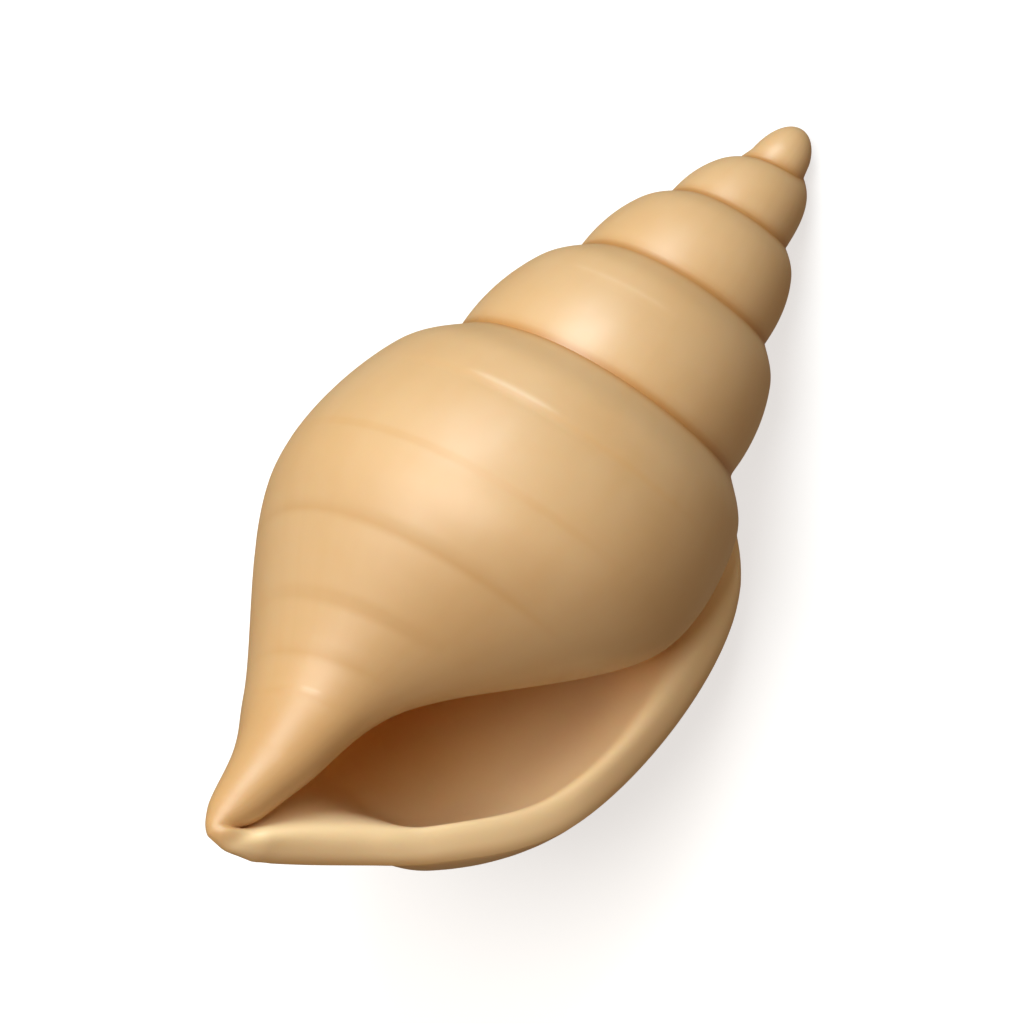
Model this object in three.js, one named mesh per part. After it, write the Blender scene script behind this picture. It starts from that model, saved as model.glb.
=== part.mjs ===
// A dove shell: a small sea snail's shell, wound to the right, with a tall spire, a swollen last
// whorl, a long narrow mouth and an open canal. It is one hollow piece, and it lies on its back,
// mouth up and spire toward +Y, as a shell comes to rest on a table. Lengths are millimetres.
//
// The surface is swept by a profile that turns about the coil axis. "turn" counts whorls back
// from the lip (0) to the tip of the spire. A profile is a chain of [radius, height] points from
// the seam at its top to the end of the canal, and "along" counts its points: 0 seam, 1 belly,
// 2 shoulder of the base, 3 base, 4 neck, 5 canal, 6 canal end.
import * as THREE from 'three';

// The coil.
const whorls = 4.8;
const seamRadius = 5.9;
const seamHeight = 14.15;
const seamRadiusDecay = 0.177;
const seamHeightDecay = 0.334;
const spireRoundness = 14;
const seamTilt = 1.06;
const seamTiltAngle = 58;

// The section of a whorl. Heights are measured from the canal end, radii from the coil axis.
const bellyShare = 0.3;
const bellySwell = 0.113;
const lastBellySwell = 0.028;
const baseRadius = 6.95;
const baseRadiusDecay = 2.4;
const baseHeight = 3.55;
const baseRise = 2.75;
const neckRadius = 3.14;
const neckRadiusDecay = 2.07;
const neckHeight = 2.54;
const canalRadius = 0.75;
const canalHeight = 0.33;
const canalEndHeight = -0.5;
const columellaRadius = 0.5;
const neckColumellaRadius = 0.45;
const canalBend = [-2.32, 0.13];
const canalBendHeight = 18.6;

// The lip's own profile, as [radius, height], which the last whorl takes on as it nears the lip.
const lipBelly = [7.25, 15.8];
const lipShoulder = [7.62, 7.25];
const lipBase = [5.5, 3.62];
const lipNeck = [4.15, 2.2];
const lipCanal = [0.75, -0.65];
const lipLength = 0.094;
const lipClimb = 0.7;
const lipClimbLength = 0.6;
const lipThickness = 1.27;
const lipThinning = 0.3;
const wallThickness = 0.9;
const rimBulgeOutside = 0.5;
const rimBulgeInside = 1.3;
const rimFade = 0.06;

// The lip merges into the last whorl at its root and again at the canal's end, where the canal
// also wraps round the column.
const rootMerge = 0.25;
const endMerge = 0.14;
const canalForward = [0, -1, -0.2];
const canalWrap = 0.33;
const wrapLength = 0.5;
const swells = [
  { centre: [5.6, 0, 18], push: [0.25, 0, 0.2], reach: 1.7 },
  { centre: [-2.1, -0.1, -0.2], push: [0, -0.2, 0], reach: 0.7 },
];
const lipRootSmoothing = { reach: 2, rounds: 4 };
const canalEndSmoothing = { centre: [-2, -0.3, -0.1], reach: 1.1, rounds: 7 };

// The mouth, on the whorl that carries it: from its upper corner to the end of the canal. The
// columns of facets on the lip run straight across it between these two counts.
const mouthCorner = 1.9;
const mouthEnd = 4.95;
const mouthStart = 1.25;
const mouthDepth = 0.8;
const mouthNarrowing = 0.9;
const wallRoom = 0.78;
const cornerFade = 0.12;
const endFade = 0.55;
const spreadFrom = 1.1;
const spreadWidth = 0.7;
const spreadTo = 5.6;

// The rounded tip of the spire, half an ellipsoid that the top whorl runs into.
const tipRadius = 0.92;
const tipLength = 1.6;
const tipHeight = 28.4;
const tipSeamStart = 3.35;
const tipSeamLength = 0.5;
const tipStart = 4.25;
const tipStartLength = 0.3;
const tipFoot = 0.4;
const tipMerge = 0.06;

// The back of the last whorl is a little flatter, where the shell rests.
const backFlattening = 0.06;
const backAngle = 53;
const backWidth = 24;

// The pose at rest: the shell turned about its axis, then laid down with the tip lower, on a
// small flat.
const restTurn = 35.5;
const restPitch = 22.8;
const restFlat = 0.35;

// Facets.
const rowsPerWhorl = 35;
const outerColumns = 8;
const rimColumns = 7;
const mouthColumns = 12;
const cavityRows = 26;

const rad = THREE.MathUtils.degToRad;
const clamp01 = (x) => Math.min(1, Math.max(0, x));
const ease = (x) => clamp01(x) ** 2 * (3 - 2 * clamp01(x));
const mix = (a, b, share) => a.map((v, i) => v + (b[i] - v) * share);
const gap = (a, b) => Math.hypot(...a.map((v, i) => v - b[i]));
const steps = (count, from = 0, to = 1) =>
  Array.from({ length: count + 1 }, (_, i) => from + ((to - from) * i) / count);

function seam(turn) {
  const back = Math.min(turn, whorls);
  const last = Math.exp(-seamRadiusDecay * whorls);
  const shrink = (Math.exp(-seamRadiusDecay * back) - last) / (1 - last);
  const dome = Math.sqrt(Math.max(0, 1 - clamp01(turn / whorls) ** spireRoundness));
  const climb = (1 - Math.exp(-seamHeightDecay * back)) / (1 - Math.exp(-seamHeightDecay * whorls));
  const sway = seamTilt * Math.cos(2 * Math.PI * turn + rad(seamTiltAngle));
  const radius = seamRadius * shrink * dome;
  const height = seamHeight + (tipHeight + tipLength - seamHeight) * climb - shrink * dome * sway;
  return ontoTip([radius, height], ease((turn - tipSeamStart) / tipSeamLength));
}

// Moves a point of radius and height onto the rounded tip.
function ontoTip([radius, height], share) {
  const reach = Math.hypot(radius / tipRadius, (height - tipHeight) / tipLength);
  const grow = 1 + share * (1 / Math.max(reach, 0.05) - 1);
  return [radius * grow, tipHeight + (height - tipHeight) * grow];
}

// How far, along its own profile, the whorl above is covered less near the lip.
function cover(turn) {
  return 2 * (1 - lipClimb * Math.max(0, 1 - Math.max(turn, 0) / lipClimbLength) ** 2);
}

function keyPoints(turn, top) {
  const [r0, z0] = top ?? seam(turn);
  const [r2, z2] = seam(turn - 1);
  const back = Math.max(turn, 0);
  const swell = bellySwell + lastBellySwell * Math.exp(-2 * back);
  const lip = Math.exp(-back / lipLength);
  const belly = [
    r0 + bellyShare * (r2 - r0) - swell * (z2 - z0),
    z0 + bellyShare * (z2 - z0) + swell * (r2 - r0),
  ];
  const base = [
    columellaRadius + (baseRadius - columellaRadius) * Math.exp(-baseRadiusDecay * back),
    baseHeight + baseRise * back,
  ];
  const neck = [
    neckColumellaRadius + (neckRadius - neckColumellaRadius) * Math.exp(-neckRadiusDecay * back),
    neckHeight,
  ];
  const canal = [canalRadius * Math.exp(-0.3 * back), canalHeight];
  const keys = [
    [r0, z0],
    mix(belly, lipBelly, lip),
    mix([r2, z2], lipShoulder, lip),
    mix(base, lipBase, lip),
    mix(neck, lipNeck, lip),
    mix(canal, lipCanal, lip),
    [0, canalEndHeight],
  ];
  const flatTop = r0 / (r0 + 0.6);
  const before = [2 * r0 - keys[1][0], keys[1][1] + 2 * (z0 - keys[1][1]) * flatTop];
  const after = [-keys[5][0], keys[5][1]];
  return [before, ...keys, after];
}

// A centripetal Catmull-Rom curve through the key points.
function curvePoint(keys, along) {
  const start = Math.min(5, Math.max(0, Math.floor(along)));
  const u = along - start;
  const [a, b, c, d] = keys.slice(start, start + 4);
  const before = Math.sqrt(Math.max(gap(a, b), 1e-5));
  const here = Math.sqrt(Math.max(gap(b, c), 1e-5));
  const after = Math.sqrt(Math.max(gap(c, d), 1e-5));
  return b.map((v, i) => {
    const into = (v - a[i]) / before - (c[i] - a[i]) / (before + here) + (c[i] - v) / here;
    const out = (c[i] - v) / here - (d[i] - v) / (here + after) + (d[i] - c[i]) / after;
    const ends = (2 * u ** 3 - 3 * u ** 2 + 1) * v + (3 * u ** 2 - 2 * u ** 3) * c[i];
    return ends + here * ((u ** 3 - 2 * u ** 2 + u) * into + (u ** 3 - u ** 2) * out);
  });
}

// The outer profile at one turn, as a function of the count along it.
function profile(turn) {
  const keys = keyPoints(turn, curvePoint(keyPoints(turn + 1), cover(turn)));
  const top = ease((turn - tipStart) / tipStartLength);
  return (along) => ontoTip(curvePoint(keys, along), top * ease((2 - along) / tipFoot));
}

// From [radius, height] to a point in space, with the bent canal, the flat back and the swells.
function place(turn, [r, z]) {
  const angle = 2 * Math.PI * turn;
  const off = (((turn * 360 - backAngle + 180) % 360) + 360) % 360 - 180;
  const flat = backFlattening * Math.exp(-((off / backWidth) ** 2)) * clamp01(r / 5) ** 2;
  const bend = clamp01(1 - z / canalBendHeight) ** 2;
  const bent = [
    r * (1 - flat) * Math.cos(angle) + canalBend[0] * bend,
    r * (1 - flat) * Math.sin(angle) + canalBend[1] * bend,
    z,
  ];
  return swells.reduce((spot, { centre, push, reach }) => {
    const near = Math.exp(-((gap(spot, centre) / reach) ** 2));
    return spot.map((v, i) => v + near * push[i]);
  }, bent);
}

// How far round the mouth, from its upper corner to the canal's end, a count along the lip lies.
function mouthShare(count) {
  const spread = (c) => c - spreadFrom + Math.hypot(c - spreadFrom, spreadWidth);
  const line = (c) => (spread(c) - spread(0)) / (spread(spreadTo) - spread(0));
  const levelled = (share) => share / (1 + share ** 8) ** 0.125;
  return levelled(line(count)) / levelled(line(6));
}

// The mouth's loop: the inner face of the outer wall, down from the upper corner, then the wall
// of the whorl inside it, back up. Deeper in, the loop keeps clear of the column.
function mouthLoop(turn) {
  const outside = profile(turn);
  const inside = profile(turn + 1);
  const deep = ease(turn / mouthNarrowing);
  const thick = wallThickness + (lipThickness - wallThickness) * Math.exp(-turn / lipThinning);
  const thickness = thick * (1 - 0.5 * ease((turn - 0.5) / 2.5));
  const covered = (cover(turn) - cover(0)) / (2 - cover(0));
  const first = mouthStart - 0.9 * covered;
  const last = mouthEnd + 0.05 - 2.75 * deep;
  const end = mouthEnd - 2.4 * deep;
  const corner = mouthCorner + 0.5 * covered;
  const front = outerCounts(1).map((count) => {
    const share = mouthShare(count);
    const along = first + (last - first) * share;
    const [r, z] = outside(along);
    const ahead = outside(along + 1e-3);
    const behind = outside(along - 1e-3);
    const across = inside(corner + (end - corner) * share);
    const room = wallRoom * gap([r, z], across);
    const wall = thickness / (1 + (thickness / room) ** 4) ** 0.25 / gap(ahead, behind);
    const face = [r + wall * (ahead[1] - behind[1]), z - wall * (ahead[0] - behind[0])];
    const atCorner = clamp01(1 - share / cornerFade) ** 2;
    const atEnd = clamp01(1 - (1 - share) / endFade) ** 2;
    return mix(face, across, atCorner + atEnd);
  });
  const back = steps(mouthColumns, end, corner).slice(1, -1).map(inside);
  return [...front, ...back].map((point) => place(turn, point));
}

// Counts along the profile at which the columns of facets run.
function outerCounts(turn) {
  const covered = cover(turn - 1);
  return [
    ...steps(outerColumns, 0, covered),
    ...steps(rimColumns, covered, mouthCorner).slice(1),
    ...steps(mouthColumns, mouthCorner, mouthEnd).slice(1),
    ...steps(rimColumns, mouthEnd, 6).slice(1),
  ];
}

const points = [];
const faces = [];
const known = new Map();

// Points within reach of the tip are the tip.
function addPoint(spot) {
  const tip = [0, 0, tipHeight + tipLength];
  const point = gap(spot, tip) < tipMerge ? tip : spot;
  const key = point.map((v) => Math.round(v * 1e4)).join();
  if (!known.has(key)) {
    known.set(key, points.length);
    points.push([...point]);
  }
  return known.get(key);
}

function addFace(a, b, c) {
  if (a !== b && b !== c && c !== a) faces.push([a, b, c]);
}

function addGrid(rows, inward = false, closed = false) {
  const ids = rows.map((row) => row.map(addPoint));
  for (let i = 0; i + 1 < ids.length; i += 1) {
    const count = ids[i].length;
    for (let j = 0; j < (closed ? count : count - 1); j += 1) {
      const k = (j + 1) % count;
      const [a, b, c, d] = [ids[i][j], ids[i][k], ids[i + 1][k], ids[i + 1][j]];
      const quad = inward ? [a, d, c, b] : [a, b, c, d];
      const turnDiagonal = gap(points[b], points[d]) < gap(points[a], points[c]) - 1e-4;
      const [p, q, r, s] = turnDiagonal ? [...quad.slice(1), quad[0]] : quad;
      addFace(p, q, r);
      addFace(p, r, s);
    }
  }
  return ids;
}

const columns = outerColumns + rimColumns + mouthColumns + rimColumns;

// The spire, from the last whorl's seam up to the tip.
const spireRows = steps(Math.round(whorls * rowsPerWhorl), 1, whorls + 1).map((turn) => {
  const outside = profile(turn);
  return steps(outerColumns, 0, cover(turn - 1)).map((along) => place(turn, outside(along)));
});
addGrid(spireRows);

// The last whorl, down to the end of the canal.
const bodyRows = steps(rowsPerWhorl).map((row) => outerCounts(1).map((along) => {
  const turn = row * (1 - canalWrap * ease((along - mouthEnd) / wrapLength));
  return place(turn, profile(turn)(along));
}));
addGrid(bodyRows);

// The rounded edge of the lip, from its outer edge to the edge of the mouth.
const landing = bodyRows[rowsPerWhorl];
const lipEdge = bodyRows[0];
const behindLip = outerCounts(1).map((along) => place(1e-3, profile(1e-3)(along)));
const mouthEdge = mouthLoop(0).slice(0, columns + 1);
const behindMouth = mouthLoop(1e-3).slice(0, columns + 1);
const unit = (v) => v.map((part) => part / (Math.hypot(...v) + 1e-9));
function forward(edge, behind, share) {
  const ahead = unit(edge.map((v, i) => v - behind[i]));
  return unit(mix(ahead, canalForward, ease((share - 0.5) / 0.25)));
}
const lipStrip = lipEdge.map((outer, j) => {
  const inner = mouthEdge[j];
  const share = outerCounts(1)[j] / 6;
  const size = gap(outer, inner) * ease(share / 0.35) * ease((1 - share) / rimFade);
  const outerPull = forward(outer, behindLip[j], share).map((v) => v * size * rimBulgeOutside * 0.5);
  const innerPull = forward(inner, behindMouth[j], share).map((v) => v * size * rimBulgeInside * 0.5);
  const second = mix(outer, inner, 0.25).map((v, i) => v + outerPull[i]);
  const third = mix(inner, outer, 0.1).map((v, i) => v + innerPull[i]);
  return steps(rimColumns).map((k) => {
    const a = (1 - k) ** 3;
    const b = 3 * (1 - k) ** 2 * k;
    const c = 3 * (1 - k) * k ** 2;
    return outer.map((v, i) => a * v + b * second[i] + c * third[i] + k ** 3 * inner[i]);
  });
});
const rootLine = landing.slice(outerColumns, outerColumns + rimColumns + 1);
const canalLine = landing.slice(columns - rimColumns).reverse();
const lipRows = lipStrip.map((strip, j) => {
  const share = outerCounts(1)[j] / 6;
  const nearRoot = 1 - ease(share / rootMerge);
  const nearEnd = 1 - ease((1 - share) / endMerge);
  return strip.map((point, k) => point.map((v, i) => {
    const toRoot = rootLine[k][i] - lipStrip[0][k][i];
    const toCanal = canalLine[k][i] - lipStrip[columns][k][i];
    return v + nearRoot * toRoot + nearEnd * toCanal;
  }));
});
addGrid(lipRows);

// The hollow, from the mouth up into the spire, with its rounded end.
const hollowRows = steps(cavityRows).map((share) => mouthLoop(mouthDepth * share ** 1.3));
const hollowIds = addGrid(hollowRows, true, true);
const lastLoop = hollowIds[cavityRows];
const hollowEnd = addPoint([0, 1, 2].map((i) => (
  lastLoop.reduce((sum, id) => sum + points[id][i], 0) / lastLoop.length
)));
lastLoop.forEach((id, j) => addFace(id, hollowEnd, lastLoop[(j + 1) % lastLoop.length]));

// Evens out the surface around one point, most at the point itself.
function soften(centre, reach, rounds) {
  const near = new Map();
  points.forEach((point, id) => {
    if (gap(point, centre) < reach) near.set(id, new Set());
  });
  faces.forEach((face) => face.forEach((id) => {
    if (near.has(id)) face.forEach((other) => other !== id && near.get(id).add(other));
  }));
  const strength = (id) => 0.6 * (1 - (gap(points[id], centre) / reach) ** 2) ** 2;
  const strengths = new Map([...near.keys()].map((id) => [id, strength(id)]));
  for (let round = 0; round < rounds; round += 1) {
    const moved = [...near].map(([id, others]) => {
      const total = [...others].reduce((sum, other) => sum.map((v, i) => v + points[other][i]), [0, 0, 0]);
      const mean = total.map((v) => v / others.size);
      return [id, mix(points[id], mean, strengths.get(id))];
    });
    moved.forEach(([id, point]) => {
      points[id] = point;
    });
  }
}
soften(canalEndSmoothing.centre, canalEndSmoothing.reach, canalEndSmoothing.rounds);
soften(landing[outerColumns + 1], lipRootSmoothing.reach, lipRootSmoothing.rounds);

const geometry = new THREE.BufferGeometry();
geometry.setAttribute('position', new THREE.Float32BufferAttribute(points.flat(), 3));
geometry.setIndex(faces.flat());
geometry.rotateZ(rad(restTurn));
geometry.rotateX(-rad(90 + restPitch));
geometry.computeBoundingBox();
const { min, max } = geometry.boundingBox;
geometry.translate(-(min.x + max.x) / 2, -(min.y + max.y) / 2, -min.z - restFlat);
const { position } = geometry.attributes;
for (let i = 0; i < position.count; i += 1) position.setZ(i, Math.max(0, position.getZ(i)));
geometry.computeVertexNormals();

const shell = new THREE.Mesh(
  geometry,
  new THREE.MeshStandardMaterial({ color: 0xe0bd8a, roughness: 0.45, metalness: 0 }),
);
shell.name = 'shell';

const doveShell = new THREE.Group();
doveShell.name = 'dove_shell';
doveShell.add(shell);

export default doveShell;
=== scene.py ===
# Dove shell: a fine mesh of the same form as the CAD solid, its finish, and the studio around it.
import math

import bpy
import numpy as np
from mathutils import Matrix, Vector


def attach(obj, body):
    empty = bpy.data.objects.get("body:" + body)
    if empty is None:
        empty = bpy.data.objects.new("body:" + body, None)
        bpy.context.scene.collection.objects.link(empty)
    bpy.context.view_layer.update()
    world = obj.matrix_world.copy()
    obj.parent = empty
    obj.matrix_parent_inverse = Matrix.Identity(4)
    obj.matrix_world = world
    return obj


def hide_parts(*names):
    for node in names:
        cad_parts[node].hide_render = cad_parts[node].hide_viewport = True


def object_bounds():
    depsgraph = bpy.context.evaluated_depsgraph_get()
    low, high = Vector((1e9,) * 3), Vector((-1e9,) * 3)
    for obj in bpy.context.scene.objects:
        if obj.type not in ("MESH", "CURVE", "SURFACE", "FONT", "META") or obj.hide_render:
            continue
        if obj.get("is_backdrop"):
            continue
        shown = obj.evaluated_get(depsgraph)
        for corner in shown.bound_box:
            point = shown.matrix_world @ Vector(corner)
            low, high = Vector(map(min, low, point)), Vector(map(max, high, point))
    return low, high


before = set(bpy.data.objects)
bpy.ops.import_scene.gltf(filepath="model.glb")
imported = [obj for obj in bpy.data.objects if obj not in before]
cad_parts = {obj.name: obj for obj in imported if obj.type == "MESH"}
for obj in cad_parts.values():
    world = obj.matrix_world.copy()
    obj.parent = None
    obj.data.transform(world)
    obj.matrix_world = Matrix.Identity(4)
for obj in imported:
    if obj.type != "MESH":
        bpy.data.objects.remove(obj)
cadLow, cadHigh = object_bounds()
print("frame loaded")

# The form of the shell, in millimetres. The coil axis is Z, from the end of the canal to the tip.
# A turn counts whorls back from the lip. A count along the profile is 0 at the seam, 1 belly,
# 2 shoulder of the base, 3 base, 4 neck, 5 canal, 6 canal end.
form = {
    "whorls": 4.8,
    "seamRadius": 5.9, "seamHeight": 14.15, "seamRadiusDecay": 0.177, "seamHeightDecay": 0.334,
    "spireRoundness": 14, "seamRounding": 0.6, "seamTilt": 1.06, "seamTiltAngle": 58,
    "bellyShare": 0.3, "bellySwell": 0.113, "lastBellySwell": 0.028, "lastSwellDecay": 2,
    "baseRadius": 6.95, "baseRadiusDecay": 2.4, "baseHeight": 3.55, "baseRise": 2.75,
    "neckRadius": 3.14, "neckRadiusDecay": 2.07, "neckHeight": 2.54,
    "canalRadius": 0.75, "canalRadiusDecay": 0.3, "canalHeight": 0.33, "canalEndHeight": -0.5,
    "columellaRadius": 0.5, "neckColumellaRadius": 0.45,
    "canalBend": (-2.32, 0.13), "canalBendHeight": 18.6,
    "lipBelly": (7.25, 15.8), "lipShoulder": (7.62, 7.25), "lipBase": (5.5, 3.62),
    "lipNeck": (4.15, 2.2), "lipCanal": (0.75, -0.65),
    "lipLength": 0.094, "lipClimb": 0.7, "lipClimbLength": 0.6,
    "lipThickness": 1.27, "lipThinning": 0.3, "wallThickness": 0.9,
    "rimBulgeOutside": 0.5, "rimBulgeInside": 1.3, "rimGrowth": 0.35, "rimFade": 0.06,
    "rimShareOutside": 0.25, "rimShareInside": 0.1, "rootMerge": 0.25, "endMerge": 0.14,
    "canalForward": (0, -1, -0.2), "forwardFrom": 0.5, "forwardLength": 0.25,
    "canalWrap": 0.33, "wrapLength": 0.5,
    # each swell: centre, push and reach
    "swells": (((5.6, 0, 18), (0.25, 0, 0.2), 1.7), ((-2.1, -0.1, -0.2), (0, -0.2, 0), 0.7)),
    "mouthCorner": 1.9, "mouthEnd": 4.95, "mouthStart": 1.25, "mouthDepth": 0.8,
    "mouthEndReach": 0.05, "mouthNarrowing": 0.9, "cornerFade": 0.12, "endFade": 0.55,
    "startShift": 0.9, "cornerShift": 0.5, "frontEndShift": 2.75, "backEndShift": 2.4,
    "wallRoom": 0.78, "thinFrom": 0.5, "thinLength": 2.5, "thinBy": 0.5,
    "spreadFrom": 1.1, "spreadWidth": 0.7, "spreadTo": 5.6, "spreadPower": 8,
    "tipRadius": 0.92, "tipLength": 1.6, "tipHeight": 28.4, "tipMerge": 0.06,
    "tipLeastReach": 0.05, "tipSeamStart": 3.35, "tipSeamLength": 0.5,
    "tipStart": 4.25, "tipStartLength": 0.3, "tipFoot": 0.4,
    # where the mesh is smoothed
    "canalEndCentre": (-2, -0.3, -0.1), "canalEndReach": 1.9, "canalTipReach": 1.3,
    "lipRootReach": 2,
    "backFlattening": 0.06, "backAngle": 53, "backWidth": 24, "backFullRadius": 5,
    "restTurn": 35.5, "restPitch": 22.8, "restFlat": 0.35,
}

lastCount = 6  # the count along the profile at the canal's end

# Facets of the fine mesh, and how it is smoothed.
fine = {
    "rowsPerWhorl": 150, "outerColumns": 30, "rimColumns": 48, "mouthColumns": 90,
    "cavityRows": 40, "cavitySpacing": 1.3, "weldsPerMillimetre": 1e4,
    "softenShare": 0.6, "canalEndRounds": 1200, "canalEndRegain": 0.605, "canalTipRounds": 260,
    "lipRootColumn": 6, "lipRootRounds": 80,
    "edgeDepth": 0.08, "edgeRimShare": 0.5, "edgeRounds": 60,
}


def ease(x):
    x = np.clip(x, 0, 1)
    return x * x * (3 - 2 * x)


def mix(a, b, share):
    return a + (b - a) * share


def gap(a, b):
    return np.linalg.norm(a - b, axis=-1)


def seam(turn):
    whorls, decay, climbDecay = form["whorls"], form["seamRadiusDecay"], form["seamHeightDecay"]
    back = np.minimum(turn, whorls)
    last = math.exp(-decay * whorls)
    shrink = (np.exp(-decay * back) - last) / (1 - last)
    dome = np.sqrt(np.maximum(0, 1 - np.clip(turn / whorls, 0, 1) ** form["spireRoundness"]))
    climb = (1 - np.exp(-climbDecay * back)) / (1 - math.exp(-climbDecay * whorls))
    sway = form["seamTilt"] * np.cos(2 * np.pi * turn + math.radians(form["seamTiltAngle"]))
    top = form["tipHeight"] + form["tipLength"]
    height = form["seamHeight"] + (top - form["seamHeight"]) * climb
    spot = np.stack([form["seamRadius"] * shrink * dome, height - shrink * dome * sway], -1)
    return ontoTip(spot, ease((turn - form["tipSeamStart"]) / form["tipSeamLength"]))


def ontoTip(spot, share):  # moves a point of radius and height onto the rounded tip
    centre = np.array([0, form["tipHeight"]])
    reach = np.linalg.norm((spot - centre) / np.array([form["tipRadius"], form["tipLength"]]), axis=-1)
    return mix(centre, spot, mix(1, 1 / np.maximum(reach, form["tipLeastReach"]), share)[..., None])


def cover(turn):  # the count along the profile of the whorl above where this whorl's seam lies
    nearLip = np.maximum(0, 1 - np.maximum(turn, 0) / form["lipClimbLength"])
    return 2 * (1 - form["lipClimb"] * nearLip ** 2)


def keyPoints(turn, top=None):
    upper = seam(turn) if top is None else top
    lower = seam(turn - 1)
    r0, z0, r2, z2 = upper[:, 0], upper[:, 1], lower[:, 0], lower[:, 1]
    back = np.maximum(turn, 0)
    swell = form["bellySwell"] + form["lastBellySwell"] * np.exp(-form["lastSwellDecay"] * back)
    lip = np.exp(-back / form["lipLength"])[:, None]
    share = form["bellyShare"]
    belly = np.stack([
        r0 + share * (r2 - r0) - swell * (z2 - z0),
        z0 + share * (z2 - z0) + swell * (r2 - r0),
    ], -1)
    base = np.stack([
        mix(form["columellaRadius"], form["baseRadius"], np.exp(-form["baseRadiusDecay"] * back)),
        form["baseHeight"] + form["baseRise"] * back,
    ], -1)
    neck = np.stack([
        mix(form["neckColumellaRadius"], form["neckRadius"],
            np.exp(-form["neckRadiusDecay"] * back)),
        np.full_like(back, form["neckHeight"]),
    ], -1)
    canal = np.stack([
        form["canalRadius"] * np.exp(-form["canalRadiusDecay"] * back),
        np.full_like(back, form["canalHeight"]),
    ], -1)
    belly = mix(belly, np.array(form["lipBelly"]), lip)
    shoulder = mix(lower, np.array(form["lipShoulder"]), lip)
    base = mix(base, np.array(form["lipBase"]), lip)
    neck = mix(neck, np.array(form["lipNeck"]), lip)
    canal = mix(canal, np.array(form["lipCanal"]), lip)
    end = np.stack([np.zeros_like(back), np.full_like(back, form["canalEndHeight"])], -1)
    flatTop = r0 / (r0 + form["seamRounding"])
    before = np.stack([2 * r0 - belly[:, 0], belly[:, 1] + 2 * (z0 - belly[:, 1]) * flatTop], -1)
    after = np.stack([-canal[:, 0], canal[:, 1]], -1)
    return np.stack([before, upper, belly, shoulder, base, neck, canal, end, after], 1)


def curvePoint(keys, along):  # a centripetal Catmull-Rom curve through the key points
    start = np.clip(np.floor(along), 0, lastCount - 1).astype(int)
    u = (along - start)[..., None]
    rows = np.arange(len(keys))[:, None]
    a, b, c, d = (keys[rows, start + k] for k in range(4))
    before = np.sqrt(np.maximum(gap(a, b), 1e-5))[..., None]
    here = np.sqrt(np.maximum(gap(b, c), 1e-5))[..., None]
    after = np.sqrt(np.maximum(gap(c, d), 1e-5))[..., None]
    into = (b - a) / before - (c - a) / (before + here) + (c - b) / here
    out = (c - b) / here - (d - b) / (here + after) + (d - c) / after
    ends = (2 * u ** 3 - 3 * u ** 2 + 1) * b + (3 * u ** 2 - 2 * u ** 3) * c
    return ends + here * ((u ** 3 - 2 * u ** 2 + u) * into + (u ** 3 - u ** 2) * out)


def profile(turn, along):
    top = curvePoint(keyPoints(turn + 1), cover(turn)[:, None])[:, 0]
    spot = curvePoint(keyPoints(turn, top), along)
    nearTip = ease((turn[:, None] - form["tipStart"]) / form["tipStartLength"])
    return ontoTip(spot, nearTip * ease((2 - along) / form["tipFoot"]))


def place(turn, spot):  # from radius and height to space, with bent canal, flat back and swells
    turn = turn[:, None]
    r, z = spot[..., 0], spot[..., 1]
    angle = 2 * np.pi * turn
    off = (turn * 360 - form["backAngle"] + 180) % 360 - 180
    flat = form["backFlattening"] * np.exp(-((off / form["backWidth"]) ** 2))
    r = r * (1 - flat * np.clip(r / form["backFullRadius"], 0, 1) ** 2)
    bend = np.clip(1 - z / form["canalBendHeight"], 0, 1) ** 2
    bent = np.stack([
        r * np.cos(angle) + form["canalBend"][0] * bend,
        r * np.sin(angle) + form["canalBend"][1] * bend,
        z,
    ], -1)
    for centre, swell, reach in form["swells"]:
        near = np.exp(-((gap(bent, np.array(centre)) / reach) ** 2))
        bent = bent + near[..., None] * np.array(swell)
    return bent


covered0 = float(cover(np.array([0.0]))[0])
lipCounts = np.concatenate([
    np.linspace(0, covered0, fine["outerColumns"] + 1),
    np.linspace(covered0, form["mouthCorner"], fine["rimColumns"] + 1)[1:],
    np.linspace(form["mouthCorner"], form["mouthEnd"], fine["mouthColumns"] + 1)[1:],
    np.linspace(form["mouthEnd"], lastCount, fine["rimColumns"] + 1)[1:],
])
lipShares = lipCounts / lastCount


def mouthShare(count):  # how far round the mouth a count along the lip lies
    start, width = form["spreadFrom"], form["spreadWidth"]
    spread = [c - start + np.hypot(c - start, width) for c in (count, 0, lastCount, form["spreadTo"])]
    line, end = ((spread[i] - spread[1]) / (spread[3] - spread[1]) for i in (0, 2))
    power = form["spreadPower"]
    levelled = [share / (1 + share ** power) ** (1 / power) for share in (line, end)]
    return levelled[0] / levelled[1]


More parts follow.
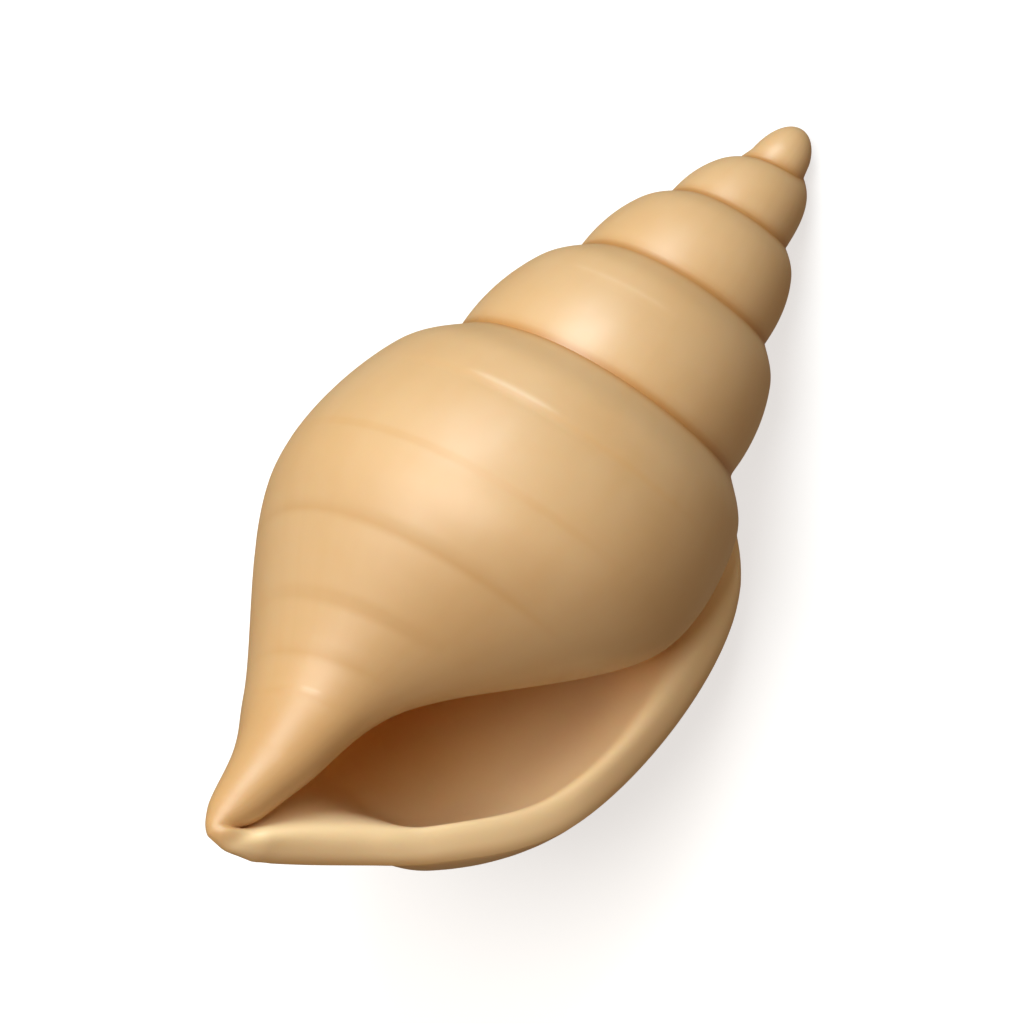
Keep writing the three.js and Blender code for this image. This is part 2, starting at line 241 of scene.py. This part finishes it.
def mouthLoop(turn):
    deep = ease(turn / form["mouthNarrowing"])[:, None]
    lip = np.exp(-turn / form["lipThinning"])[:, None]
    thickness = mix(form["wallThickness"], form["lipThickness"], lip)
    deeper = ease((turn[:, None] - form["thinFrom"]) / form["thinLength"])
    thickness = thickness * (1 - form["thinBy"] * deeper)
    covered = ((cover(turn) - covered0) / (2 - covered0))[:, None]
    first = form["mouthStart"] - form["startShift"] * covered
    last = form["mouthEnd"] + form["mouthEndReach"] - form["frontEndShift"] * deep
    corner = form["mouthCorner"] + form["cornerShift"] * covered
    end = form["mouthEnd"] - form["backEndShift"] * deep
    share = mouthShare(lipCounts)[None]
    along = mix(first, last, share)
    spot = profile(turn, along)
    step = profile(turn, along + 1e-3) - profile(turn, along - 1e-3)
    step = step / np.linalg.norm(step, axis=-1, keepdims=True)
    across = profile(turn + 1, mix(corner, end, share))
    room = form["wallRoom"] * gap(spot, across)
    wall = (thickness / (1 + (thickness / room) ** 4) ** 0.25)[..., None]
    face = spot + wall * np.stack([step[..., 1], -step[..., 0]], -1)
    ends = (np.clip(1 - share / form["cornerFade"], 0, 1) ** 2
            + np.clip(1 - (1 - share) / form["endFade"], 0, 1) ** 2)
    front = mix(face, across, ends[..., None])
    turnBack = np.linspace(0, 1, fine["mouthColumns"] + 1)[1:-1]
    back = profile(turn + 1, mix(end, corner, turnBack[None]))
    return place(turn, np.concatenate([front, back], 1))


# The grids of points: spire, last whorl, lip edge and hollow.
columns = len(lipCounts) - 1
spireTurns = np.linspace(1, form["whorls"] + 1, round(form["whorls"] * fine["rowsPerWhorl"]) + 1)
spireAlong = cover(spireTurns - 1)[:, None] * np.linspace(0, 1, fine["outerColumns"] + 1)[None]
spire = place(spireTurns, profile(spireTurns, spireAlong))
bodyTurns = np.linspace(0, 1, fine["rowsPerWhorl"] + 1)
bodyAlong = np.repeat(lipCounts[None], len(bodyTurns), 0)
wrap = 1 - form["canalWrap"] * ease((bodyAlong - form["mouthEnd"]) / form["wrapLength"])
turnGrid = bodyTurns[:, None] * wrap
flatTurn, flatAlong = turnGrid.ravel(), bodyAlong.reshape(-1, 1)
body = place(flatTurn, profile(flatTurn, flatAlong)).reshape(*bodyAlong.shape, 3)

# Shallow spiral steps where one growth band laps over the next. Each: count along the profile,
# first and last turn, and depth in millimetres.
steps = {
    "lines": (
        (1.28, 0.48, 0.9, 0.04), (1.25, 1.5, 1.84, 0.02), (1.86, 0.42, 0.86, 0.045),
        (2.3, 0.38, 0.9, 0.055), (2.63, 0.38, 0.84, 0.05), (2.88, 0.38, 0.8, 0.045),
        (3.2, 0.42, 0.76, 0.04), (3.93, 0.5, 0.74, 0.03),
    ),
    # pale streaks beside them, partly painted highlight on the ridge above a line and partly whitish
    # scratches: count, first and last turn, and strength
    "streaks": ((1.245, 0.6, 0.7, 1), (3.13, 0.57, 0.65, 0.7), (1.2, 1.57, 1.72, 0.4)),
    "edge": 0.1, "recovery": 0.9, "fade": 0.16, "fullDepth": 0.065,
    "lineShadeWidth": 0.17, "seamShadeWidth": 0.28, "streakWidth": 0.1, "streakFade": 0.03,
}


# the line marks are painted shade along each groove step
# the streak marks are partly painted highlight, partly whitish scratches
def carve(grid, turns, alongs):  # lowers the surface below each line, and marks lines and streaks
    turns = np.broadcast_to(turns, alongs.shape)
    rowWay, columnWay = np.gradient(grid, axis=0), np.gradient(grid, axis=1)
    normal = np.cross(columnWay, rowWay)
    normal /= np.linalg.norm(normal, axis=-1, keepdims=True) + 1e-12
    pace = np.linalg.norm(columnWay, axis=-1) / np.maximum(np.gradient(alongs, axis=1), 1e-6)
    drop, mark, pale = (np.zeros(alongs.shape) for _ in range(3))
    for line, first, last, depth in steps["lines"]:
        window = ease((turns - first) / steps["fade"]) * ease((last - turns) / steps["fade"])
        below = (alongs - line) * pace
        step = ease(0.5 + below / steps["edge"] / 2)
        drop += depth * window * step * np.exp(-np.maximum(below, 0) / steps["recovery"])
        mark += window * np.exp(-((below / steps["lineShadeWidth"]) ** 2)) * depth / steps["fullDepth"]
    for line, first, last, strength in steps["streaks"]:
        window = ease((turns - first) / steps["streakFade"]) * ease((last - turns) / steps["streakFade"])
        below = (alongs - line) * pace
        pale += strength * window * np.exp(-((below / steps["streakWidth"]) ** 2))
    return grid - normal * drop[..., None], mark, pale


body, bodyLineShade, bodyStreaks = carve(body, turnGrid, bodyAlong)
spire, spireLineShade, spireStreaks = carve(spire, spireTurns[:, None], spireAlong)

little = np.array([1e-3])
behindLip = place(little, profile(little, lipCounts[None]))[0]
mouthEdge = mouthLoop(np.array([0.0]))[0, :columns + 1]
behindMouth = mouthLoop(little)[0, :columns + 1]
landing, lipEdge = body[-1], body[0]


def forward(edge, behind):
    ahead = (edge - behind) / (gap(edge, behind)[:, None] + 1e-9)
    towardCanal = ease((lipShares - form["forwardFrom"]) / form["forwardLength"])[:, None]
    ahead = mix(ahead, np.array(form["canalForward"]), towardCanal)
    return ahead / np.linalg.norm(ahead, axis=1)[:, None]


size = gap(lipEdge, mouthEdge) * ease(lipShares / form["rimGrowth"])
size = size * ease((1 - lipShares) / form["rimFade"])
second = mix(lipEdge, mouthEdge, form["rimShareOutside"])
second = second + forward(lipEdge, behindLip) * size[:, None] * form["rimBulgeOutside"] / 2
third = mix(mouthEdge, lipEdge, form["rimShareInside"])
third = third + forward(mouthEdge, behindMouth) * size[:, None] * form["rimBulgeInside"] / 2
k = np.linspace(0, 1, fine["rimColumns"] + 1)[None, :, None]
lipRows = ((1 - k) ** 3 * lipEdge[:, None] + 3 * (1 - k) ** 2 * k * second[:, None]
           + 3 * (1 - k) * k ** 2 * third[:, None] + k ** 3 * mouthEdge[:, None])
rootLine = landing[fine["outerColumns"]:fine["outerColumns"] + fine["rimColumns"] + 1]
canalLine = landing[columns - fine["rimColumns"]:][::-1]
nearRoot = (1 - ease(lipShares / form["rootMerge"]))[:, None, None]
nearEnd = (1 - ease((1 - lipShares) / form["endMerge"]))[:, None, None]
lipRows = lipRows + nearRoot * (rootLine - lipRows[0]) + nearEnd * (canalLine - lipRows[-1])

hollowTurns = form["mouthDepth"] * np.linspace(0, 1, fine["cavityRows"] + 1) ** fine["cavitySpacing"]
hollow = mouthLoop(hollowTurns)
print("points placed")


# One mesh of all the grids, welded where they meet.
def gridFaces(shape, start, closed=False, inward=False):
    ids = start + np.arange(shape[0] * shape[1]).reshape(shape[:2])
    if closed:
        ids = np.concatenate([ids, ids[:, :1]], 1)
    quads = np.stack([ids[:-1, :-1], ids[:-1, 1:], ids[1:, 1:], ids[1:, :-1]], -1).reshape(-1, 4)
    return quads[:, ::-1] if inward else quads


grids = [(spire, False, False), (body, False, False), (lipRows, False, False), (hollow, True, True)]
quads, start = [], 0
for points, closed, inward in grids:
    quads.append(gridFaces(points.shape, start, closed, inward))
    start += points.shape[0] * points.shape[1]
points = np.concatenate([g[0].reshape(-1, 3) for g in grids])
quads = np.concatenate(quads)
hollowIds = start - hollow.shape[1] + np.arange(hollow.shape[1])
points = np.concatenate([points, points[hollowIds].mean(0)[None]])
fan = np.stack([hollowIds, np.full_like(hollowIds, start), np.roll(hollowIds, -1)], -1)

# Marks for the finish: turn, count along the profile, and depth into the mouth.
turnMark = np.concatenate([
    np.repeat(spireTurns, spire.shape[1]), np.repeat(bodyTurns, body.shape[1]),
    np.zeros(lipRows.shape[0] * lipRows.shape[1]),
    np.zeros(hollow.shape[0] * hollow.shape[1] + 1),
])
alongMark = np.concatenate([
    spireAlong.ravel(), bodyAlong.ravel(),
    np.repeat(lipCounts, lipRows.shape[1]),
    np.zeros(hollow.shape[0] * hollow.shape[1] + 1),
])
rimShare = np.tile(np.linspace(0, 1, lipRows.shape[1]), lipRows.shape[0])
depthMark = np.concatenate([
    np.full(spire.shape[0] * spire.shape[1] + body.shape[0] * body.shape[1], -1.0),
    rimShare - 1, np.repeat(hollowTurns, hollow.shape[1]), hollowTurns[-1:],
])

lipCount = lipRows.shape[0] * lipRows.shape[1] + hollow.shape[0] * hollow.shape[1] + 1
# painted shade along the spiral step lines
lineShadeMark = np.concatenate([spireLineShade.ravel(), bodyLineShade.ravel(), np.zeros(lipCount)])
# pale streaks: partly painted highlight, partly whitish scratches
glintScratchMark = np.concatenate([spireStreaks.ravel(), bodyStreaks.ravel(), np.zeros(lipCount)])


def seamNearness(grid, seamBelow):  # 1 at a seam, falling off within a fraction of a millimetre
    way = np.cumsum(np.linalg.norm(np.diff(grid, axis=1, prepend=grid[:, :1]), axis=-1), 1)
    away = np.minimum(way, way[:, -1:] - way) if seamBelow else way
    return np.exp(-away / steps["seamShadeWidth"])


# painted shade: the colour darkens along each seam crease
seamShadeMark = np.concatenate([
    seamNearness(spire, True).ravel(), seamNearness(body, False).ravel(),
    np.zeros(lipCount),
])

tip = np.array([0, 0, form["tipHeight"] + form["tipLength"]])
points[gap(points, tip) < form["tipMerge"]] = tip
_, firstOf, weld = np.unique(np.round(points * fine["weldsPerMillimetre"]).astype(np.int64), axis=0,
                             return_index=True, return_inverse=True)
weld = weld.ravel()
marks = {"turnMark": turnMark, "alongMark": alongMark, "depthMark": depthMark,
         "lineShadeMark": lineShadeMark, "seamShadeMark": seamShadeMark, "glintScratchMark": glintScratchMark}
marks = {name: values[firstOf] for name, values in marks.items()}
points, depthMark = points[firstOf], marks["depthMark"]


def cleanFaces(faces):  # drops the corners that the weld has made one, and faces with no area
    kept = []
    for face in weld[faces].tolist():
        ring = [v for i, v in enumerate(face) if v != face[i - 1]]
        if len(set(ring)) == len(ring) and len(ring) > 2:
            kept.append(ring)
    return kept


faces = cleanFaces(quads) + cleanFaces(fan)
edges = np.array([(a, b) for face in faces for a, b in zip(face, face[1:] + face[:1])])


def soften(points, weight, rounds, regain=0):  # a regain over the soften share keeps the volume
    weight = weight[:, None]
    near = edges[weight[edges[:, 0], 0] > 0]
    count = np.bincount(near[:, 0], minlength=len(points))
    for _ in range(rounds):
        for share in (fine["softenShare"], -regain) if regain else (fine["softenShare"],):
            total = np.stack([np.bincount(near[:, 0], points[near[:, 1], i], len(points))
                              for i in range(3)], -1)
            points = mix(points, total / np.maximum(count, 1)[:, None], share * weight)
    return points


def around(centre, reach):
    return np.clip(1 - (gap(points, np.array(centre)) / reach) ** 2, 0, 1) ** 2


lipRoot = landing[fine["outerColumns"] + fine["lipRootColumn"]]
insideEdge = np.where(depthMark > 0, 1 - depthMark / fine["edgeDepth"],
                      1 + depthMark / fine["edgeRimShare"])
points = soften(points, np.clip(insideEdge, 0, 1), fine["edgeRounds"])
points = soften(points, around(form["canalEndCentre"], form["canalEndReach"]),
                fine["canalEndRounds"], fine["canalEndRegain"])
points = soften(points, around(form["canalEndCentre"], form["canalTipReach"]), fine["canalTipRounds"])
points = soften(points, around(lipRoot, form["lipRootReach"]), fine["lipRootRounds"])

# From the coil's frame to the frame of the part, onto the CAD solid's box and its resting flat.
restMatrix = np.array(Matrix.Rotation(-math.radians(90 + form["restPitch"]), 3, "X")
                      @ Matrix.Rotation(math.radians(form["restTurn"]), 3, "Z"))
laid = points @ restMatrix.T / 1000
low, high = laid.min(0), laid.max(0)
shift = np.array([(cadLow.x + cadHigh.x) / 2, (cadLow.y + cadHigh.y) / 2, cadLow.z])
shift -= np.array([(low[0] + high[0]) / 2, (low[1] + high[1]) / 2,
                   low[2] + form["restFlat"] / 1000])
laid = laid + shift
laid[:, 2] = np.maximum(laid[:, 2], cadLow.z)
mesh = bpy.data.meshes.new("shell")
mesh.from_pydata(laid.tolist(), [], faces)
mesh.update()
for name, values in marks.items():
    layer = mesh.attributes.new(name, "FLOAT", "POINT")
    layer.data.foreach_set("value", values.astype(np.float32))
mesh.polygons.foreach_set("use_smooth", [True] * len(mesh.polygons))
shell = bpy.data.objects.new("shellSurface", mesh)
bpy.context.collection.objects.link(shell)
print("mesh made:", len(mesh.vertices), "points,", len(mesh.polygons), "faces")

finish = {
    "tan": (0.705, 0.475, 0.245, 1), "honey": (0.65, 0.395, 0.165, 1), "base": (0.585, 0.325, 0.115, 1),
    # depth: painted shade, a more saturated orange deeper in the mouth
    # line: painted shade along the spiral step lines
    # seam: painted shade in the seam creases
    "seam": (0.52, 0.23, 0.05, 1), "line": (0.6, 0.31, 0.09, 1), "depth": (1.0, 0.5, 0.08, 1),
    # lip: paler colour, partly the shell's own pale lip and partly painted light on its rim
    # streak: pale colour, partly painted highlight and partly whitish scratches
    "streak": (0.95, 0.8, 0.6, 1), "lip": (0.96, 0.71, 0.41, 1),
    "baseStrength": 0.6, "lineShadeStrength": 0.35, "glintScratchStrength": 0.3, "seamShadeStrength": 0.85,
    "seamShadeFrom": 0.1, "lipStrength": 0.95, "mouthShadeFrom": 0.06, "mouthShadeTo": 0.3,
    # counts along the profile where the base colour comes in, and where the paler lip colour, partly
    # painted light, goes out
    "baseFrom": 2.2, "baseTo": 3.6, "lipFrom": 5.0, "lipTo": 5.9,
    # shares of the lip's edge where its colour comes in, and the turn in the mouth where it is gone
    "rimFrom": -1.0, "rimTo": -0.7, "rimEnd": 0.16,
    "mottleScale": 260, "mottleDetail": 3, "mottleRange": (0.35, 0.7), "mottle": 0.5,
    "growthScale": 34, "growthDetail": 2, "growthRange": (0.35, 0.75), "growth": 0.12,
    "growthBump": 0.12, "bumpDistance": 0.00002,
    "roughRange": (0.3, 0.7), "roughness": (0.41, 0.49), "specular": 1.0,
    "subsurface": 0.2, "subsurfaceRadius": (1.0, 0.42, 0.16), "subsurfaceScale": 0.0012,
}


def shellMaterial():
    material = bpy.data.materials.new("shellSatin")
    material.use_nodes = True
    nodes, links = material.node_tree.nodes, material.node_tree.links
    shader = nodes["Principled BSDF"]

    def mark(name):
        node = nodes.new("ShaderNodeAttribute")
        node.attribute_name = name
        return node.outputs["Fac"]

    def spread(value, low, high, outLow=0, outHigh=1):
        node = nodes.new("ShaderNodeMapRange")
        node.interpolation_type = "SMOOTHSTEP"
        links.new(value, node.inputs["Value"])
        for name, number in (("From Min", low), ("From Max", high), ("To Min", outLow),
                             ("To Max", outHigh)):
            node.inputs[name].default_value = number
        return node.outputs["Result"]

    def blend(share, first, second):
        node = nodes.new("ShaderNodeMix")
        node.data_type = "RGBA"
        links.new(share, node.inputs["Factor"])
        for socket, colour in ((node.inputs["A"], first), (node.inputs["B"], second)):
            if isinstance(colour, tuple):
                socket.default_value = colour
            else:
                links.new(colour, socket)
        return node.outputs["Result"]

    def noise(scale, detail, along=None):
        node = nodes.new("ShaderNodeTexNoise")
        node.inputs["Scale"].default_value = scale
        node.inputs["Detail"].default_value = detail
        if along is not None:
            node.noise_dimensions = "1D"
            links.new(along, node.inputs["W"])
        else:
            links.new(nodes.new("ShaderNodeTexCoord").outputs["Object"], node.inputs["Vector"])
        return node.outputs["Fac"]

    def scaled(first, second):
        node = nodes.new("ShaderNodeMath")
        node.operation = "MULTIPLY"
        links.new(first, node.inputs[0])
        links.new(second, node.inputs[1])
        return node.outputs["Value"]

    turnOf, along, depthOf = mark("turnMark"), mark("alongMark"), mark("depthMark")
    cloud = noise(finish["mottleScale"], finish["mottleDetail"])
    growth = noise(finish["growthScale"], finish["growthDetail"], turnOf)
    colour = blend(spread(cloud, *finish["mottleRange"], 0, finish["mottle"]),
                   finish["tan"], finish["honey"])
    colour = blend(spread(growth, *finish["growthRange"], 0, finish["growth"]), colour, finish["honey"])
    colour = blend(spread(along, finish["baseFrom"], finish["baseTo"], 0, finish["baseStrength"]),
                   colour, finish["base"])
    # painted shade along the spiral step lines
    colour = blend(spread(mark("lineShadeMark"), 0, 1, 0, finish["lineShadeStrength"]), colour, finish["line"])
    # pale streaks: partly painted highlight, partly whitish scratches
    colour = blend(spread(mark("glintScratchMark"), 0, 1, 0, finish["glintScratchStrength"]), colour, finish["streak"])
    # painted shade darkening the seam creases
    colour = blend(spread(mark("seamShadeMark"), finish["seamShadeFrom"], 1, 0, finish["seamShadeStrength"]),
                   colour, finish["seam"])
    # painted shade: the colour turns a more saturated orange deeper in the mouth
    inside = spread(depthOf, finish["mouthShadeFrom"], finish["mouthShadeTo"])
    colour = blend(inside, colour, finish["depth"])
    # paler lip: partly the shell's own pale lip, partly painted light on the rim and crest
    lip = spread(depthOf, finish["rimFrom"], finish["rimTo"], 0, finish["lipStrength"])
    lip = scaled(lip, spread(along, finish["lipFrom"], finish["lipTo"], 1, 0))
    colour = blend(scaled(lip, spread(depthOf, 0, finish["rimEnd"], 1, 0)), colour, finish["lip"])
    links.new(colour, shader.inputs["Base Color"])
    links.new(spread(cloud, *finish["roughRange"], *finish["roughness"]), shader.inputs["Roughness"])
    shader.inputs["Specular IOR Level"].default_value = finish["specular"]
    shader.inputs["Subsurface Weight"].default_value = finish["subsurface"]
    shader.inputs["Subsurface Radius"].default_value = finish["subsurfaceRadius"]
    shader.inputs["Subsurface Scale"].default_value = finish["subsurfaceScale"]
    bump = nodes.new("ShaderNodeBump")
    bump.inputs["Strength"].default_value = finish["growthBump"]
    bump.inputs["Distance"].default_value = finish["bumpDistance"]
    links.new(growth, bump.inputs["Height"])
    links.new(bump.outputs["Normal"], shader.inputs["Normal"])
    return material


mesh.materials.append(shellMaterial())
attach(shell, "root")
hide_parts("shell")
print("finish made")

# The camera, set by how the coil axis lies in its view.
view = {
    "axisDip": 21, "axisHeading": 54.693, "lipTurn": 12.62,
    "centre": (7.113, 10.931, -5.37), "distance": 312.5, "width": 31.515, "clip": (0.01, 5),
}


def cameraAxes():  # camera right, up and back, as rows, in the frame of the part
    dip, heading = math.radians(view["axisDip"]), math.radians(view["axisHeading"])
    axis = np.array([math.cos(dip) * math.cos(heading), math.cos(dip) * math.sin(heading),
                     -math.sin(dip)])
    side = np.array([math.sin(heading), -math.cos(heading), 0])
    seen = np.stack([side, np.cross(axis, side), axis], 1)
    turned = np.array(Matrix.Rotation(math.radians(view["lipTurn"]), 3, "Z"))
    return seen @ turned @ restMatrix.T


axes = cameraAxes()
eye = np.array(view["centre"]) + np.array([0, 0, view["distance"]])
camera = bpy.data.objects.new("camera", bpy.data.cameras.new("camera"))
camera.data.lens = camera.data.sensor_width * view["distance"] / view["width"]
camera.data.clip_start, camera.data.clip_end = view["clip"]
turned = Matrix(axes.T.tolist()).to_4x4()
turned.translation = Vector(eye @ axes / 1000 + shift)
camera.matrix_world = turned
bpy.context.collection.objects.link(camera)
bpy.context.scene.camera = camera

# Floor and light.
studio = {
    "floor": (0.45, 0.45, 0.45, 1), "glow": (1, 1, 1, 1), "floorGlow": 0.675,
    "floorReach": 3, "floorRoughness": 0.9, "floorSpecular": 0.1,
    "sky": (1, 0.74, 0.48, 1), "skyStrength": 0.245,
}
middle = np.array([(cadLow.x + cadHigh.x) / 2, (cadLow.y + cadHigh.y) / 2, cadHigh.z / 2])
floorMesh = bpy.data.meshes.new("floor")
reach = studio["floorReach"]
corners = [(-reach, -reach, 0), (reach, -reach, 0), (reach, reach, 0), (-reach, reach, 0)]
floorMesh.from_pydata(corners, [], [(0, 1, 2, 3)])
floor = bpy.data.objects.new("floor", floorMesh)
bpy.context.collection.objects.link(floor)
floorMaterial = bpy.data.materials.new("paleFloor")
floorMaterial.use_nodes = True
floorShader = floorMaterial.node_tree.nodes["Principled BSDF"]
floorShader.inputs["Base Color"].default_value = studio["floor"]
floorShader.inputs["Roughness"].default_value = studio["floorRoughness"]
floorShader.inputs["Specular IOR Level"].default_value = studio["floorSpecular"]
floorShader.inputs["Emission Color"].default_value = studio["glow"]
floorShader.inputs["Emission Strength"].default_value = studio["floorGlow"]
floorMesh.materials.append(floorMaterial)
floor.visible_diffuse = False  # so that the white floor does not wash out the underside
floor.visible_glossy = False
floor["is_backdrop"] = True

# Each light: direction in the camera's axes (right, up, back), distance, size, power and colour.
lights = {
    "key": ((-0.47, 0.21, 0.86), 0.30, 0.28, 0.84, (1, 0.98, 0.94)),
    "top": ((-0.14, 0.84, 0.52), 0.30, 0.16, 0.5, (0.8, 0.93, 1)),
}
for name, (direction, distance, width, power, colour) in lights.items():
    lamp = bpy.data.lights.new(name, "AREA")
    lamp.shape, lamp.size, lamp.energy, lamp.color = "DISK", width, power, colour
    lampObject = bpy.data.objects.new(name, lamp)
    toward = np.array(direction) @ axes
    toward = toward / np.linalg.norm(toward)
    lampObject.location = Vector(middle + toward * distance)
    lampObject.rotation_mode = "QUATERNION"
    lampObject.rotation_quaternion = Vector(toward).to_track_quat("Z", "Y")
    bpy.context.collection.objects.link(lampObject)
world = bpy.data.worlds.new("softLight")
world.use_nodes = True
world.node_tree.nodes["Background"].inputs["Color"].default_value = studio["sky"]
world.node_tree.nodes["Background"].inputs["Strength"].default_value = studio["skyStrength"]
bpy.context.scene.world = world
bpy.context.scene.view_settings.view_transform = "Standard"
print("camera and light placed")

low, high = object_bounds()
